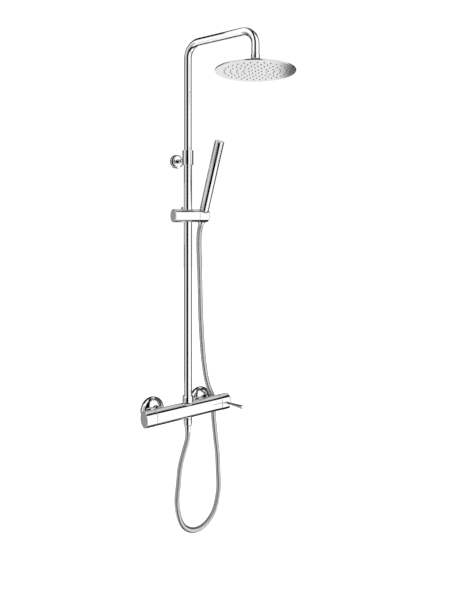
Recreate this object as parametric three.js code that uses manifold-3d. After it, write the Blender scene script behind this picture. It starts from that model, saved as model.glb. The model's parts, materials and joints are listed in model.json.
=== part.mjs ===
// Rain shower column: bar mixer, telescopic riser, overhead shower, sliding holder, hand shower, hose.
// Millimetres. The origin lies on the wall, midway between the two water unions, at the height of
// their axes. +X runs along the wall to the right, +Y goes into the wall, +Z is up.
import * as THREE from 'three';
import { mergeVertices } from 'three/addons/utils/BufferGeometryUtils.js';
import Module from 'manifold-3d';

const wasm = await Module();
wasm.setup();

// ---- driving dimensions ----
const WALL_TO_RISER = 65; // from the wall to the axis of the bar and the riser
const UNION_SPACING = 150; // between the hot and cold unions
const UNION_OFFSET = 8; // eccentricity of a wall union
const BAR_R = 21;
const BAR_LEFT = -99.7; // ends of the mixer body, between knob and handle
const BAR_RIGHT = 97.7;
const KNOB_END = -128.7;
const HANDLE_END = 129;
const HANDLE_R = 21.6;
const LEVER_X = 113;
const LEVER_RISE = THREE.MathUtils.degToRad(5);
const LEVER_REACH = 94; // from the bar's axis to the lever's tip
const ROSETTE_R = 33;
const ROSETTE_DEPTH = 25.5;

const LOWER_R = 11.1; // telescopic riser: outer tube
const LOWER_BORE = 10.45;
const LOWER_BOTTOM = 31.7;
const LOWER_TOP = 680;
const UPPER_R = 9.95; // telescopic riser: inner tube, bent into the arm
const UPPER_BORE = 9.2;
const UPPER_BOTTOM = 380;
const ARM_Z = 976.7; // height of the arm's centreline
const ARM_REACH = 213.6; // from the riser's axis to the head's axis
const ARM_SWIVEL = THREE.MathUtils.degToRad(20.2);
const ARM_BEND = 38;
const ARM_END_Z = 914;

const BRACKET_Z = 668;
const COLLAR_BOTTOM = 654;
const COLLAR_TOP = 693;
const COLLAR_R = 15;
const GRUB_Z = 687;

const BALL_Z = 891.5; // centre of the head's ball joint
const BALL_R = 9;
const HEAD_R = 100;
const FACE_DROP = 20.2; // from the ball's centre down to the spray face

const SLIDER_Z = 518.6;
const SLIDER_R = 17.65;
const SLIDER_SWIVEL = THREE.MathUtils.degToRad(-4.5);
const HOLDER_X = 45; // from the riser's axis to the hand shower's axis, along the slider
const HOLDER_TILT = THREE.MathUtils.degToRad(26);
const HANDSET_R = 12.5;
const HANDSET_TOP = 213; // from the slider's axis, along the hand shower
const NUT_DROP = 24; // the hose nut's lower end, below the slider's axis

const HOSE_R = 7;
const OUTLET_END = -58; // lower end of the hose nut under the bar
const GAP = 0.3;

const BROAD = 32; // sides of the overhead shower
const FINE = 24; // sides of a large round piece
const MEDIUM = 18;
const COARSE = 12;

// ---- solids: every shape is made round local Z, then turned ----
function solidOf(geometry) {
  const bare = geometry.clone();
  bare.deleteAttribute('normal');
  bare.deleteAttribute('uv');
  const merged = mergeVertices(bare, 1e-4);
  const corners = merged.index.array;
  const kept = [];
  for (let i = 0; i < corners.length; i += 3) {
    const [a, b, c] = [corners[i], corners[i + 1], corners[i + 2]];
    if (a !== b && b !== c && c !== a) kept.push(a, b, c);
  }
  return new wasm.Manifold(new wasm.Mesh({
    numProp: 3,
    vertProperties: new Float32Array(merged.attributes.position.array),
    triVerts: new Uint32Array(kept),
  }));
}

function geometryOf(solid) {
  const mesh = solid.getMesh();
  const geometry = new THREE.BufferGeometry();
  geometry.setAttribute('position', new THREE.BufferAttribute(mesh.vertProperties, 3));
  geometry.setIndex(new THREE.BufferAttribute(mesh.triVerts, 1));
  geometry.computeVertexNormals();
  return geometry;
}

// A body of revolution round Z from an outline of [radius, z] points.
// An outline that doesn't start and end on the axis is closed on itself.
function revolve(outline, sides = MEDIUM) {
  const points = outline.map(([r, z]) => new THREE.Vector2(r, z));
  const onAxis = points[0].x === 0 && points[points.length - 1].x === 0;
  if (!onAxis) points.push(points[0].clone());
  if (THREE.ShapeUtils.area(points) < 0) points.reverse();
  return new THREE.LatheGeometry(points, sides).rotateX(Math.PI / 2);
}

function rod(radius, bottom, top, sides = MEDIUM) {
  return revolve([[0, bottom], [radius, bottom], [radius, top], [0, top]], sides);
}

function ring(bore, radius, bottom, top, sides = MEDIUM) {
  return revolve([[bore, bottom], [radius, bottom], [radius, top], [bore, top]], sides);
}

function block(xs, ys, zs) {
  const size = [xs, ys, zs].map(([low, high]) => high - low);
  const middle = [xs, ys, zs].map(([low, high]) => (low + high) / 2);
  return new THREE.BoxGeometry(...size).translate(...middle);
}

const alongX = (geometry) => geometry.rotateY(Math.PI / 2);
const alongY = (geometry) => geometry.rotateX(-Math.PI / 2);

function join(first, ...others) {
  return others.reduce((sum, other) => sum.add(solidOf(other)), solidOf(first));
}

function cut(solid, ...tools) {
  return geometryOf(tools.reduce((rest, tool) => rest.subtract(solidOf(tool)), solid));
}

// Points on a circular arc of an outline, from one angle to another, in degrees from the Z axis.
function arc(radius, from, to, steps) {
  return Array.from({ length: steps + 1 }, (_, i) => {
    const angle = THREE.MathUtils.degToRad(from + ((to - from) * i) / steps);
    return [radius * Math.sin(angle), radius * Math.cos(angle)];
  });
}

// ---- materials ----
const LOOKS = {
  chrome: [0xd9dcde, 0.06, 1],
  satin: [0xb9bcbd, 0.35, 1],
  brass: [0xc9a24a, 0.3, 1],
  steel: [0x9a9da0, 0.3, 1],
  rubber: [0x1c1c1d, 0.8, 0],
  plastic: [0xe6e6e2, 0.5, 0],
  darkPlastic: [0x55585a, 0.55, 0],
};

function piece(name, geometry, look) {
  const [color, roughness, metalness] = LOOKS[look];
  const mesh = new THREE.Mesh(geometry, new THREE.MeshStandardMaterial({ color, roughness, metalness }));
  mesh.name = name;
  return mesh;
}

function group(position, ...children) {
  const made = new THREE.Group();
  made.position.set(...position);
  made.add(...children);
  return made;
}

// ---- bar mixer, in a frame on the bar's axis ----
const INLET_FRONT = 10; // the inlet necks start inside the bar
const INLET_END = 27.4; // and end at the union washers
const CARTRIDGE_LEFT_R = 16.2;
const CARTRIDGE_RIGHT_R = 17.2;

function mixerBody() {
  const neckOf = (side) => {
    const lip = revolve([[0, INLET_FRONT], [10.4, INLET_FRONT], [10.4, INLET_END - 2],
      [12.8, INLET_END - 2], [12.8, INLET_END], [0, INLET_END]], COARSE);
    return alongY(lip).translate((side * UNION_SPACING) / 2, 0, 0);
  };
  const inletOf = (side) => alongY(rod(7.5, 0, INLET_END + 1, COARSE))
    .translate((side * UNION_SPACING) / 2, 0, 0);
  const channel = (y, z, from, to) => alongX(rod(3.5, from, to, 8)).translate(0, y, z);
  const solid = join(
    alongX(rod(BAR_R, BAR_LEFT, BAR_RIGHT, FINE)),
    rod(14.2, 8, 21.3),
    rod(11.2, 8, 30),
    neckOf(-1),
    neckOf(1),
  );
  return cut(
    solid,
    alongX(rod(CARTRIDGE_LEFT_R + 0.5, BAR_LEFT - 1, -60)),
    alongX(rod(CARTRIDGE_RIGHT_R + 0.5, 56, BAR_RIGHT + 1)),
    inletOf(-1),
    inletOf(1),
    channel(9, 0, -61, 57),
    channel(-9, 0, -61, 57),
    channel(0, 9, -61, 0),
    channel(0, -9, -61, 0),
    rod(8, 7, 31, COARSE),
    rod(8.8, -BAR_R - 1, -7, COARSE),
  );
}

function diverterCartridge() {
  return alongX(revolve([[0, -61], [CARTRIDGE_LEFT_R, -61], [CARTRIDGE_LEFT_R, -95.8],
    [4.6, -95.8], [4.6, -75], [0, -75]], COARSE));
}

function mixingCartridge() {
  return alongX(revolve([[0, 57], [CARTRIDGE_RIGHT_R, 57], [CARTRIDGE_RIGHT_R, 94],
    [5.5, 94], [5.5, 72], [0, 72]], COARSE));
}

// A ring nut that screws into the end of the bar and holds a cartridge; side is -1 left, 1 right.
function cartridgeNut(radius, bore, inner, outer, side) {
  const collar = outer + 4.5;
  return alongX(revolve([[bore, side * inner], [radius, side * inner], [radius, side * outer],
    [radius - 4, side * outer], [radius - 4, side * collar], [bore, side * collar]], COARSE));
}

function diverterKnob() {
  const cup = join(alongX(revolve([[0, KNOB_END], [BAR_R - 0.5, KNOB_END], [BAR_R, KNOB_END + 0.5],
    [BAR_R, -100.3], [17.5, -100.3], [17.5, -124.7], [8, -124.7], [8, -106], [4.5, -106],
    [4.5, -120], [0, -120]], FINE)));
  return cut(cup, rod(2.2, -BAR_R - 1, 0, 8).translate(-113, 0, 0));
}

function mixerHandle() {
  const shell = join(alongX(revolve([[0, HANDLE_END], [HANDLE_R - 4, HANDLE_END],
    [HANDLE_R - 1.2, HANDLE_END - 1.2], [HANDLE_R, HANDLE_END - 4], [HANDLE_R, 98.3], [17.6, 98.3],
    [17.6, 124.5], [8, 124.5], [8, 106], [5.3, 106], [5.3, 120], [0, 120]], FINE)));
  return cut(
    shell,
    rod(2.2, -HANDLE_R - 1, 0, 8).translate(LEVER_X, 0, 0),
    leverTurned(rod(3.3, 12, HANDLE_R + 2, COARSE)),
  );
}

// Turns a rod that stands on local Z until it points out from the wall, a little above level.
function leverTurned(geometry) {
  return geometry.rotateX(Math.PI / 2 - LEVER_RISE).translate(LEVER_X, 0, 0);
}

function mixerLever() {
  return leverTurned(revolve([[0, 10.5], [2.9, 10.5], [2.9, HANDLE_R + 1], [3.4, HANDLE_R + 2],
    [4.7, LEVER_REACH - 10], [5.2, LEVER_REACH - 8], [5.2, LEVER_REACH - 3],
    [3.6, LEVER_REACH - 0.7], [0, LEVER_REACH]], COARSE));
}

function hoseOutlet() {
  return revolve([[6, -34], [10.1, -34], [10.1, -23.6], [11, -23.6], [11, -21.3], [8.4, -21.3],
    [8.4, -9], [6, -9]], COARSE);
}

function lowerHoseNut() {
  return revolve([[5.5, OUTLET_END], [8, OUTLET_END], [9.6, -40], [11.6, -38], [11.6, -24],
    [10.5, -24], [10.5, -36.2], [5.5, -36.2]]);
}

const mixer = group(
  [0, -WALL_TO_RISER, 0],
  piece('mixer_body', mixerBody(), 'chrome'),
  piece('diverter_cartridge', diverterCartridge(), 'darkPlastic'),
  piece('diverter_cartridge_nut', cartridgeNut(CARTRIDGE_LEFT_R, 6.5, 96.2, 99.5, -1), 'brass'),
  piece('diverter_spindle', alongX(rod(4.1, -118, -76, COARSE)), 'brass'),
  piece('diverter_knob', diverterKnob(), 'chrome'),
  piece('diverter_knob_screw', rod(1.8, -20, -5, 8).translate(-113, 0, 0), 'steel'),
  piece('mixing_cartridge', mixingCartridge(), 'darkPlastic'),
  piece('mixing_cartridge_nut', cartridgeNut(CARTRIDGE_RIGHT_R, 7, 94.4, 98, 1), 'brass'),
  piece('mixing_spindle', alongX(rod(4.9, 73, 118, COARSE)), 'brass'),
  piece('mixer_handle', mixerHandle(), 'chrome'),
  piece('mixer_handle_screw', rod(1.8, -20.5, -5.8, 8).translate(LEVER_X, 0, 0), 'steel'),
  piece('mixer_lever', mixerLever(), 'chrome'),
  piece('hose_outlet', hoseOutlet(), 'brass'),
  piece('hose_washer_lower', ring(6, 10, -36, -34.3, COARSE), 'rubber'),
  piece('hose_nut_lower', lowerHoseNut(), 'chrome'),
);

// ---- wall unions, in a frame on the wall, on each union's axis ----
const NUT_FRONT = -43; // the union nut, from the bar to the rosette
const NUT_BACK = -26;
const NUT_FLAT = 15; // half the width across flats
const UNION_FRONT = -35;
const UNION_NECK = -13;
const UNION_BACK = 18; // the threaded end inside the wall

function unionNut() {
  const corner = NUT_FLAT / Math.cos(Math.PI / 6);
  const hexagon = alongY(revolve([[0, NUT_FRONT], [corner, NUT_FRONT], [corner, NUT_BACK],
    [0, NUT_BACK]], 6));
  return cut(
    solidOf(hexagon),
    alongY(rod(10.8, NUT_FRONT - 1, NUT_BACK + 1)),
    alongY(rod(13.6, -40, NUT_BACK + 1)),
  );
}

function wallUnion() {
  const dropped = (geometry) => alongY(geometry).translate(0, 0, -UNION_OFFSET);
  return cut(
    join(
      alongY(rod(13.1, UNION_FRONT, UNION_NECK)),
      dropped(rod(10.4, UNION_NECK - 1, UNION_BACK)),
    ),
    alongY(rod(7.5, UNION_FRONT - 1, UNION_NECK - 2, COARSE)),
    dropped(rod(7.5, UNION_NECK - 4, UNION_BACK + 1, COARSE)),
  );
}

function rosette() {
  const wall = 1.8;
  return alongY(revolve([
    [ROSETTE_R, 0],
    [ROSETTE_R, -5],
    [ROSETTE_R - 1.2, -11],
    [ROSETTE_R - 4.2, -16.5],
    [ROSETTE_R - 9, -21.2],
    [ROSETTE_R - 15, -24.4],
    [13.7, -ROSETTE_DEPTH],
    [13.7, -ROSETTE_DEPTH + wall],
    [ROSETTE_R - 16, -24.4 + wall],
    [ROSETTE_R - 10.4, -21.2 + wall],
    [ROSETTE_R - 5.8, -16],
    [ROSETTE_R - wall, -5],
    [ROSETTE_R - wall, 0],
  ], FINE));
}

function union(side, label) {
  return group(
    [(side * UNION_SPACING) / 2, 0, 0],
    piece(`union_nut_${label}`, unionNut(), 'chrome'),
    piece(`union_washer_${label}`, alongY(ring(8, 12.7, -37.3, -35.3, COARSE)), 'rubber'),
    piece(`check_valve_${label}`, alongY(ring(3, 7, -34, -21, COARSE)), 'plastic'),
    piece(`wall_union_${label}`, wallUnion(), 'brass'),
    piece(`rosette_${label}`, rosette(), 'chrome'),
  );
}

// ---- riser and its wall bracket, in a frame on the riser's axis ----
const WALL_Y = WALL_TO_RISER;

function baseNut() {
  return revolve([[11.6, 21.6], [14.5, 21.6], [14.5, 35.5], [13.6, 38], [12.2, 39.5], [11.6, 39.5]]);
}

function riserBracket() {
  const stemEnd = WALL_Y - 5.8;
  const stem = revolve([[0, 5], [10, 5], [10, 15], [5.5, 27], [5.5, stemEnd], [0, stemEnd]], COARSE);
  return cut(
    join(rod(COLLAR_R, COLLAR_BOTTOM, COLLAR_TOP, MEDIUM), alongY(stem).translate(0, 0, BRACKET_Z)),
    rod(LOWER_R + 0.5, COLLAR_BOTTOM - 1, COLLAR_TOP + 1),
    alongY(rod(2.3, 5, 20, 8)).translate(0, 0, GRUB_Z),
  );
}

function bracketBase() {
  const plate = revolve([[2.7, 0], [14, 0], [14, -3.5], [9, -3.5], [9, -8.4], [5.9, -8.4],
    [5.9, -3.6], [2.7, -3.6]], COARSE);
  return cut(join(alongY(plate)), rod(1.5, -12, -5, 8).translate(0, -7, 0));
}

function bracketCover() {
  return alongY(revolve([[17.8, 0], [19.2, 0], [19.2, -6.5], [17.6, -9.3], [14.5, -10.4],
    [6.2, -10.7], [6.2, -9.2], [14, -8.9], [16.4, -7.8], [17.8, -5.6]]));
}

function wallScrew() {
  return alongY(revolve([[0, -5.4], [4.5, -5.4], [4.5, -3.9], [2.4, -3.9], [2.4, 20.5], [0, 22.5]], COARSE));
}

function riserBush() {
  const bush = join(ring(UPPER_R + 0.4, LOWER_R, LOWER_TOP + 0.4, COLLAR_TOP - GAP));
  return cut(bush, alongY(rod(2.3, 5, 20, 8)).translate(0, 0, GRUB_Z));
}

const riser = group(
  [0, -WALL_TO_RISER, 0],
  piece('riser_base_nut', baseNut(), 'chrome'),
  piece('riser_base_washer', ring(8, 11, 30.2, 31.4, COARSE), 'rubber'),
  piece('riser_lower_tube', ring(LOWER_BORE, LOWER_R, LOWER_BOTTOM, LOWER_TOP), 'chrome'),
  piece('riser_bracket', riserBracket(), 'chrome'),
  piece('riser_bush', riserBush(), 'plastic'),
  piece('collar_grub_screw', alongY(rod(1.9, 10.4, 14.8, 8)).translate(0, 0, GRUB_Z), 'steel'),
);

const bracket = group(
  [0, 0, BRACKET_Z],
  piece('bracket_base', bracketBase(), 'brass'),
  piece('bracket_cover', bracketCover(), 'chrome'),
  piece('bracket_wall_screw', wallScrew(), 'steel'),
  piece('bracket_grub_screw', rod(1.2, -9, -5.9, 8).translate(0, -7, 0), 'steel'),
);

// ---- upper tube, arm and ball joint, in a frame on the riser's axis, arm along local -Y ----

// A path through given stations, with one section at each station and mitred joints.
class Stations extends THREE.Curve {
  constructor(stations) {
    super();
    this.stations = stations;
  }

  getUtoTmapping(u) {
    return u;
  }

  getPoint(t, target = new THREE.Vector3()) {
    const spans = this.stations.length - 1;
    const span = Math.min(Math.floor(t * spans), spans - 1);
    return target.lerpVectors(this.stations[span], this.stations[span + 1], t * spans - span);
  }

  getTangent(t, target = new THREE.Vector3()) {
    const i = Math.round(t * (this.stations.length - 1));
    const here = this.stations[i];
    const before = this.stations[Math.max(i - 1, 0)];
    const after = this.stations[Math.min(i + 1, this.stations.length - 1)];
    const into = here.clone().sub(before).normalize();
    const out = after.clone().sub(here).normalize();
    return target.addVectors(into, out).normalize();
  }
}

function circle(radius, sides, Kind = THREE.Shape) {
  const points = Array.from({ length: sides }, (_, i) => {
    const angle = (2 * Math.PI * i) / sides;
    return new THREE.Vector2(radius * Math.cos(angle), radius * Math.sin(angle));
  });
  return new Kind(points);
}

// Stations of a quarter bend in the YZ plane round a centre, between two angles in degrees.
function quarterBend(centreY, centreZ, from, to, steps) {
  return arc(ARM_BEND, from, to, steps)
    .map(([y, z]) => new THREE.Vector3(0, centreY + y, centreZ + z));
}

function armTube() {
  const bends = ARM_Z - ARM_BEND;
  const stations = [
    new THREE.Vector3(0, 0, UPPER_BOTTOM),
    ...quarterBend(-ARM_BEND, bends, 90, 0, 6),
    ...quarterBend(-ARM_REACH + ARM_BEND, bends, 0, -90, 6),
    new THREE.Vector3(0, -ARM_REACH, ARM_END_Z),
  ];
  const section = circle(UPPER_R, 16);
  section.holes.push(circle(UPPER_BORE, 16, THREE.Path));
  return new THREE.ExtrudeGeometry(section, {
    steps: stations.length - 1,
    extrudePath: new Stations(stations),
    bevelEnabled: false,
  });
}

function telescopePlug() {
  return revolve([[6.5, 362], [10.05, 362], [10.05, 366], [8.9, 366], [8.9, 369.5], [10.05, 369.5],
    [10.05, 379.6], [8.8, 379.6], [8.8, 388], [6.5, 388]], MEDIUM);
}

function swivelNipple() {
  const collar = ARM_END_Z - BALL_Z - GAP;
  return revolve([
    ...arc(BALL_R, 157, 34, 6),
    [5, 11],
    [10.4, 11],
    [11, 11.6],
    [11, collar - 0.6],
    [10.4, collar],
    [8.8, collar],
    [8.8, collar + 10],
    [3.5, collar + 10],
  ]);
}

// A band of a spherical shell, between two angles from the Z axis, round the ball's centre.
function shellBand(inner, outer, from, to) {
  return revolve([...arc(inner, from, to, 3), ...arc(outer, to, from, 3)]);
}

// ---- overhead shower, in a frame on the ball's centre ----
function headNut() {
  return revolve([[14.5, -9], [14.5, 3], [12.5, 6], [8.6, 6], [8.8, 5.5], ...arc(11.1, 60, 88, 3),
    [12.7, 0], [12.7, -9]]);
}

function headShell() {
  return revolve([
    [HEAD_R, -18.9],
    [HEAD_R, -17.3],
    [HEAD_R - 3, -16.2],
    [60, -13.6],
    [30, -12],
    [15.5, -11.4],
    [12.3, -10.2],
    [12.3, -0.2],
    ...arc(11.1, 91, 158, 5),
    [4, -13.4],
    [30, -14],
    [60, -15.6],
    [91, -17.6],
    [91, -18.9],
  ], BROAD);
}

const overhead = group(
  [0, -ARM_REACH, BALL_Z],
  piece('arm_swivel_nipple', swivelNipple(), 'chrome'),
  piece('ball_seat', shellBand(9.35, 10.1, 60, 81), 'plastic'),
  piece('ball_seal', shellBand(9.35, 10.4, 99, 120), 'rubber'),
  piece('head_swivel_nut', headNut(), 'chrome'),
  piece('head_back_shell', headShell(), 'chrome'),
  piece('head_nozzle_mat', rod(90.4, -18.8, -18, BROAD), 'darkPlastic'),
  piece('head_spray_plate', rod(HEAD_R - 0.6, -FACE_DROP, -19.2, BROAD), 'satin'),
);

const arm = group(
  [0, -WALL_TO_RISER, 0],
  piece('telescope_plug', telescopePlug(), 'plastic'),
  piece('telescope_o_ring', ring(9.1, 10.1, 366.3, 369.2), 'rubber'),
  piece('shower_arm_tube', armTube(), 'chrome'),
  overhead,
);
arm.rotation.z = ARM_SWIVEL;

// ---- slider, in a frame where the riser crosses the slider's axis; slider along local X ----
const SEAM_X = 28; // between the slider's body and the holder
const HOLDER_END = 59.5;
const CLAMP_TIP = 13.9;

function sliderBody() {
  return cut(
    join(alongX(rod(SLIDER_R, -40.9, SEAM_X, FINE))),
    rod(13.8, -20, 20),
    alongX(rod(14.8, -42, -20)),
    alongX(rod(6.4, 16.5, SEAM_X + 1, COARSE)),
    alongY(rod(2.9, 5, 20, 8)),
  );
}

function sliderEndCap() {
  return alongX(revolve([[0, -43.4], [SLIDER_R - 0.4, -43.4], [SLIDER_R, -43], [SLIDER_R, -41.2],
    [14.4, -41.2], [14.4, -34], [0, -34]], FINE));
}

function clampLever() {
  const tip = alongY(rod(5.5, 27, 33, COARSE)).translate(0, 0, 19.3);
  return cut(
    join(alongY(rod(6.5, 18.6, 33, COARSE)), block([-5.5, 5.5], [27, 33], [0, 19.3]), tip),
    alongY(rod(2.9, 18, 29.4, 8)),
  );
}

// ---- holder and hand shower, in a frame tilted with the hand shower; its axis is local Z ----
const INSERT_R = 12.2;

function handsetHolder() {
  const from = SEAM_X + 0.7 - HOLDER_X;
  const to = HOLDER_END - HOLDER_X;
  return cut(
    join(alongX(revolve([[0, from], [SLIDER_R, from], [SLIDER_R, to - 4], [SLIDER_R - 1.2, to - 1.2],
      [SLIDER_R - 4, to], [0, to]], FINE))),
    rod(INSERT_R + 0.3, -20, 20),
    alongX(rod(6.4, from - 1, -5, COARSE)),
  );
}

function holderInsert() {
  return revolve([[9.9, -15.5], [INSERT_R, -15.5], [INSERT_R, 15.5], [11.45, 15.5]]);
}

function upperHoseNut() {
  return revolve([[5.5, -NUT_DROP], [8.6, -NUT_DROP], [11, 15], [11, 18.7], [9.9, 18.7], [9.9, 8],
    [5.5, 8]]);
}

const SPRAY_BOTTOM = 150;
const SPRAY_TOP = 204;
const SPRAY_EDGE = 5.3; // the spray window's side edges lie this far in front of the axis
const SPRAY_TURN = THREE.MathUtils.degToRad(-31); // turned to its left in the holder

function sprayWindow(inset) {
  return block([-HANDSET_R - 1, HANDSET_R + 1], [-HANDSET_R - 1, -SPRAY_EDGE - inset],
    [SPRAY_BOTTOM + inset, SPRAY_TOP - inset]).rotateZ(SPRAY_TURN);
}

function handsetBody() {
  return cut(
    join(revolve([[6, 10.2], [9.6, 10.2], [9.6, 20], [HANDSET_R - 0.5, 20], [HANDSET_R, 20.5],
      [HANDSET_R, 208], [9.8, 208], [9.8, 34], [6, 30]])),
    sprayWindow(0),
  );
}

function handsetSprayPlate() {
  const shell = solidOf(ring(9.9, HANDSET_R, SPRAY_BOTTOM - 5, SPRAY_TOP + 2));
  return geometryOf(shell.intersect(solidOf(sprayWindow(GAP))));
}

function handsetEndCap() {
  return revolve([[0, 200], [9.4, 200], [9.4, 208.3], [HANDSET_R, 208.3], [HANDSET_R, HANDSET_TOP - 1],
    [HANDSET_R - 1, HANDSET_TOP], [0, HANDSET_TOP]]);
}

const pivotPin = alongX(rod(6.1, 17 - HOLDER_X, 31.6 - HOLDER_X, COARSE));

const handShower = group(
  [HOLDER_X, 0, 0],
  piece('handset_holder', handsetHolder(), 'chrome'),
  piece('holder_insert', holderInsert(), 'plastic'),
  piece('holder_pivot_pin', pivotPin, 'steel'),
  piece('hose_nut_upper', upperHoseNut(), 'chrome'),
  piece('hose_washer_upper', ring(5.5, 9.5, 8.3, 9.9, COARSE), 'rubber'),
  piece('handset_body', handsetBody(), 'chrome'),
  piece('handset_spray_plate', handsetSprayPlate(), 'satin'),
  piece('handset_end_cap', handsetEndCap(), 'chrome'),
);
handShower.rotation.x = HOLDER_TILT;

const slider = group(
  [0, -WALL_TO_RISER, SLIDER_Z],
  piece('slider_grip_sleeve', ring(LOWER_R + 0.4, 13.4, -16, 16), 'darkPlastic'),
  piece('slider_body', sliderBody(), 'chrome'),
  piece('slider_end_cap', sliderEndCap(), 'chrome'),
  piece('slider_clamp_lever', clampLever(), 'chrome'),
  piece('slider_clamp_screw', alongY(rod(2.6, CLAMP_TIP, 29, 8)), 'steel'),
  handShower,
);
slider.rotation.z = SLIDER_SWIVEL;

// ---- hose: out of the upper nut, down behind the bar, round a hanging loop, up to the outlet ----
const HOSE_ROUTE = [
  [45.7, -57.9, 496.75],
  [46.3, -51, 482.6],
  [47.4, -45, 466],
  [50.3, -39.2, 435],
  [53.5, -36.2, 395],
  [55.6, -35.5, 340],
  [57.2, -35, 284],
  [59.8, -34.6, 225],
  [64, -34.2, 165],
  [69.5, -34, 112],
  [77.5, -34, 65],
  [84.5, -34, 41],
  [92, -34, 23],
  [98, -34, 10],
  [100.6, -34, -4],
  [101, -34, -22],
  [101.8, -34, -45],
  [106.5, -35.5, -100],
  [112, -38, -153],
  [111.4, -43, -202.8],
  [108.5, -49, -252.6],
  [88.1, -54.5, -306.5],
  [53.8, -59.5, -329.5],
  [16.7, -63, -328.4],
  [-16.1, -65, -303.5],
  [-33.4, -66, -245.2],
  [-29.5, -66.5, -190],
  [-23.5, -66, -145],
  [-11.5, -65.3, -108],
  [-2.4, -65, -83],
  [0, -65, -70],
  [0, -65, OUTLET_END - GAP],
];

function hose() {
  const points = HOSE_ROUTE.map((point) => new THREE.Vector3(...point));
  const path = new THREE.CatmullRomCurve3(points, false, 'centripetal');
  path.arcLengthDivisions = 1000;
  return new THREE.ExtrudeGeometry(circle(HOSE_R, 8), {
    steps: 56,
    extrudePath: path,
    bevelEnabled: false,
  });
}

const column = group(
  [0, 0, 0],
  mixer,
  union(-1, 'left'),
  union(1, 'right'),
  riser,
  bracket,
  arm,
  slider,
  piece('shower_hose', hose(), 'steel'),
);
column.name = 'rain_shower_column';

export default column;
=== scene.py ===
"""A chrome rain shower column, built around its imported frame.

Everything is in metres in the frame's own axes. Outlines of turned pieces are in millimetres,
as (radius, height) or (radius, height, fillet), in a local frame taken from the joint they turn on.
"""
import json
import math

import bmesh
import bpy
from mathutils import Matrix, Vector


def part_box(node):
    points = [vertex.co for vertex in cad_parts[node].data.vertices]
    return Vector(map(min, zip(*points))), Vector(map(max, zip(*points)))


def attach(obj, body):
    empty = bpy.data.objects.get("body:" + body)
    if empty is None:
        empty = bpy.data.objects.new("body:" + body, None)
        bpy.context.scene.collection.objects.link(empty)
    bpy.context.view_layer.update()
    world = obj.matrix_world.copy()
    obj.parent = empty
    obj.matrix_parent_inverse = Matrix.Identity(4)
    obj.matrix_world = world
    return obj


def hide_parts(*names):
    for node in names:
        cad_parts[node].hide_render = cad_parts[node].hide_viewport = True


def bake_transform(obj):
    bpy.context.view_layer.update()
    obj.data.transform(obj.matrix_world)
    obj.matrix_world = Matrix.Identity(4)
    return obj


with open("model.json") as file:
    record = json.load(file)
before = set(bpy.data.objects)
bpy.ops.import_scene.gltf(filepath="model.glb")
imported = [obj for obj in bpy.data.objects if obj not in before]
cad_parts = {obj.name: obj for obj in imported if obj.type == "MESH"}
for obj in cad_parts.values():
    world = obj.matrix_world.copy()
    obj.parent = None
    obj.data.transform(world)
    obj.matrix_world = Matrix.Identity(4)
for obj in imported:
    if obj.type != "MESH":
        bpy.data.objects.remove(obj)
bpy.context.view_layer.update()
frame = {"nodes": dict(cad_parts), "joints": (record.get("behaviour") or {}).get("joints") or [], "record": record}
JOINTS = {joint["name"]: joint for joint in frame["joints"]}
MM = 0.001
UP = Vector((0, 0, 1))

# ---- camera, at the photograph's angle ----
CAMERA_PLACE = (-0.732, -1.3175, 0.5113)
CAMERA_TURN = math.radians(-35.64)
CAMERA_LENS = 32.85  # in millimetres, on a sensor 36 mm wide
CAMERA_SHIFT = (-0.015, -0.131)


def make_camera():
    """Stands where the photograph was taken from, level, with the view shifted downwards."""
    data = bpy.data.cameras.new("camera")
    data.sensor_width = 36
    data.lens = CAMERA_LENS
    data.shift_x, data.shift_y = CAMERA_SHIFT
    camera = bpy.data.objects.new("camera", data)
    camera.location = CAMERA_PLACE
    camera.rotation_euler = (math.radians(90), 0, CAMERA_TURN)
    bpy.context.scene.collection.objects.link(camera)
    bpy.context.scene.camera = camera


make_camera()


# ---- local frames ----
def local_frame(origin, x_axis, z_axis):
    """A matrix from millimetres in a local frame to the row frame, given where its X and Z point."""
    x, z = Vector(x_axis).normalized(), Vector(z_axis).normalized()
    turn = Matrix((x, z.cross(x), z)).transposed().to_4x4()
    return Matrix.Translation(origin) @ turn @ Matrix.Scale(MM, 4)


BAR_CENTRE = Vector((0, *JOINTS["lever_turn"]["pos_m"][1:]))
RISER_FOOT = Vector((*JOINTS["arm_swivel"]["pos_m"][:2], 0))
BALL_CENTRE = Vector(JOINTS["head_spin"]["pos_m"])
SLIDER_CENTRE = Vector(JOINTS["slider_swivel"]["pos_m"])
HOLDER_CENTRE = Vector(JOINTS["holder_tilt"]["pos_m"])
SLIDER_AXIS = Vector(JOINTS["holder_tilt"]["axis"])
CLAMP_AXIS = Vector(JOINTS["clamp_turn"]["axis"])
HANDSET_AXIS = Vector(JOINTS["handset_turn"]["axis"])
TO_WALL = Vector((0, 1, 0))

BAR = local_frame(BAR_CENTRE, TO_WALL, (1, 0, 0))  # Z along the bar
RISER = local_frame(RISER_FOOT, (1, 0, 0), UP)
HEAD = local_frame(BALL_CENTRE, JOINTS["head_tilt_front"]["axis"], UP)
SLIDER = local_frame(SLIDER_CENTRE, CLAMP_AXIS, SLIDER_AXIS)  # Z along the slider
CLAMP = local_frame(SLIDER_CENTRE, -SLIDER_AXIS, CLAMP_AXIS)  # Y up, Z towards the wall
HOLDER = local_frame(HOLDER_CENTRE, CLAMP_AXIS, SLIDER_AXIS)
HANDSET = local_frame(HOLDER_CENTRE, SLIDER_AXIS, HANDSET_AXIS)


def out_of_wall(node):
    """A frame on a round node's axis, on the wall, with Z pointing out of the wall."""
    low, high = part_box(node)
    return local_frame(((low.x + high.x) / 2, 0, (low.z + high.z) / 2), (1, 0, 0), -TO_WALL)


def ends_of(node, axis="x"):
    """Where a node starts and ends along an axis, in millimetres."""
    low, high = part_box(node)
    return getattr(low, axis) / MM, getattr(high, axis) / MM


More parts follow.
